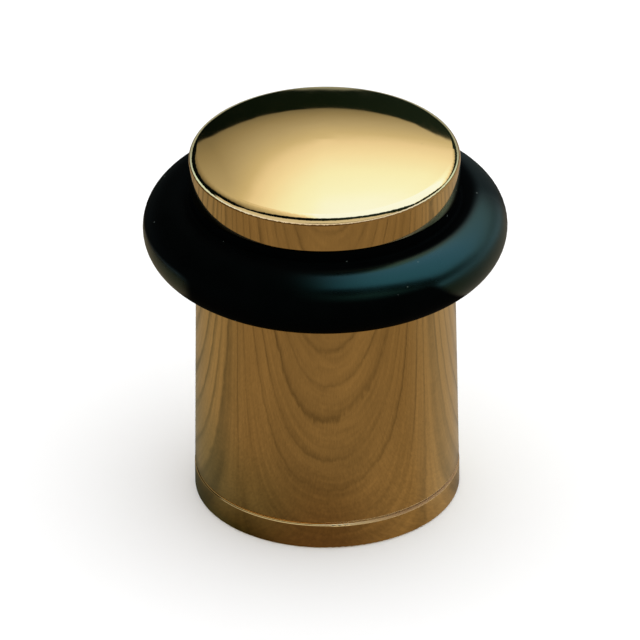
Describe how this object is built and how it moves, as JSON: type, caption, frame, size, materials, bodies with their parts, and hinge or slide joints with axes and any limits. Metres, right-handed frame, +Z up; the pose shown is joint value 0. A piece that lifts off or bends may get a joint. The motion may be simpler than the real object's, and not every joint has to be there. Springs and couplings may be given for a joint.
{
  "type": "door stop",
  "caption": "Floor-fixed pillar door stop in polished brass, with a slightly tapered body, a round black rubber buffer ring below a domed cap, and a screwed foot.",
  "frame": {"origin": "centre of the foot's underside, on the floor", "axes": "+Z up along the pillar's axis; the part is round, so X and Y are free"},
  "size_m": [0.0518, 0.0518, 0.0563],
  "materials": {
    "polished_brass": "polished",
    "black_rubber": "satin"
  },
  "bodies": {
    "root": {"foot": "polished_brass", "body": "polished_brass", "cap": "polished_brass", "buffer_ring": "black_rubber"}
  },
  "joints": []
}
